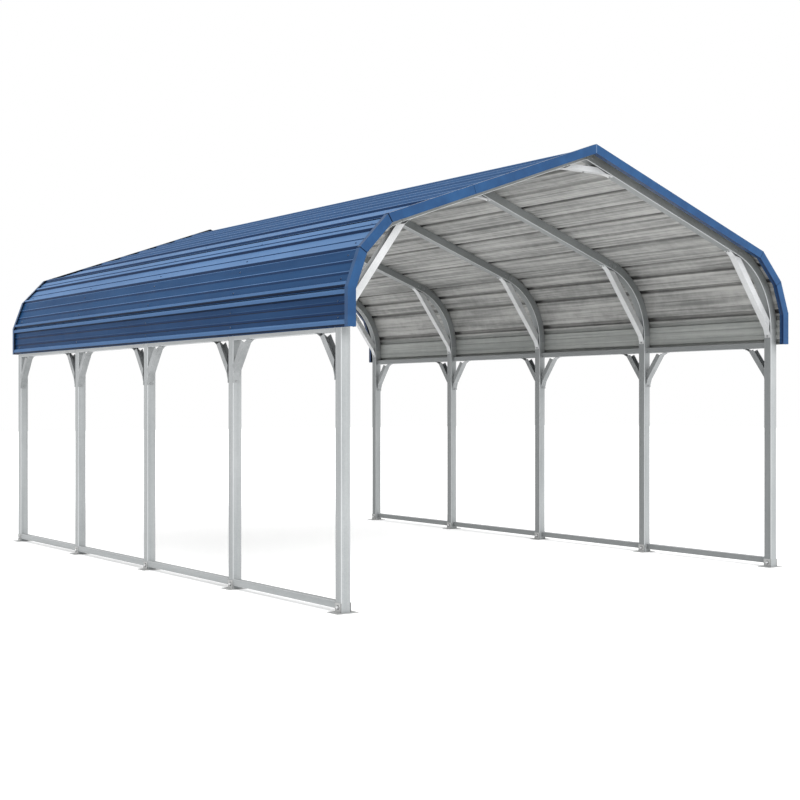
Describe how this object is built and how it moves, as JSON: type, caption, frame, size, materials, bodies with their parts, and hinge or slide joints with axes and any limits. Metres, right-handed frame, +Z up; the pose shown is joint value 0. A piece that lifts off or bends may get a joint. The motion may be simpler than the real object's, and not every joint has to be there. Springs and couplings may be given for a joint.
{
  "type": "carport",
  "caption": "Open carport: bowed square-tube frames tied by rails and braces, under a ribbed sheet roof with folded knees and end trim.",
  "frame": {"origin": "centre of the footprint, on the ground", "axes": "+X across the carport to the right seen from the front, +Y along it from the front gable to the back, +Z up"},
  "size_m": [4.692, 6.38, 3.4546],
  "materials": {
    "galvanised_tube": "galvanised, satin",
    "galvanised_pressing": "galvanised, satin",
    "foot_steel": "galvanised, dull",
    "roof_sheet": "factory paint outside, grey zinc coat inside",
    "edge_trim": "factory paint, satin"
  },
  "bodies": {
    "root": {"back_trim_left": "edge_trim", "back_trim_right": "edge_trim", "base_rails_left": "galvanised_tube", "base_rails_right": "galvanised_tube", "bow_corners_left": "galvanised_tube", "bow_corners_right": "galvanised_tube", "corner_braces_left": "galvanised_pressing", "corner_braces_right": "galvanised_pressing", "eave_panel_left": "roof_sheet", "eave_panel_right": "roof_sheet", "eave_rails_left": "galvanised_tube", "eave_rails_right": "galvanised_tube", "foot_brackets_left": "foot_steel", "foot_brackets_right": "foot_steel", "front_trim_left": "edge_trim", "front_trim_right": "edge_trim", "knee_braces_left": "galvanised_pressing", "knee_braces_right": "galvanised_pressing", "knee_panel_left": "roof_sheet", "knee_panel_right": "roof_sheet", "peak_braces": "galvanised_pressing", "post_left_1": "galvanised_tube", "post_left_2": "galvanised_tube", "post_left_3": "galvanised_tube", "post_left_4": "galvanised_tube", "post_left_5": "galvanised_tube", "post_right_1": "galvanised_tube", "post_right_2": "galvanised_tube", "post_right_3": "galvanised_tube", "post_right_4": "galvanised_tube", "post_right_5": "galvanised_tube", "rafter_left_1": "galvanised_tube", "rafter_left_2": "galvanised_tube", "rafter_left_3": "galvanised_tube", "rafter_left_4": "galvanised_tube", "rafter_left_5": "galvanised_tube", "rafter_right_1": "galvanised_tube", "rafter_right_2": "galvanised_tube", "rafter_right_3": "galvanised_tube", "rafter_right_4": "galvanised_tube", "rafter_right_5": "galvanised_tube", "ridge_panel": "roof_sheet", "roof_panel_left": "roof_sheet", "roof_panel_right": "roof_sheet"}
  },
  "joints": []
}
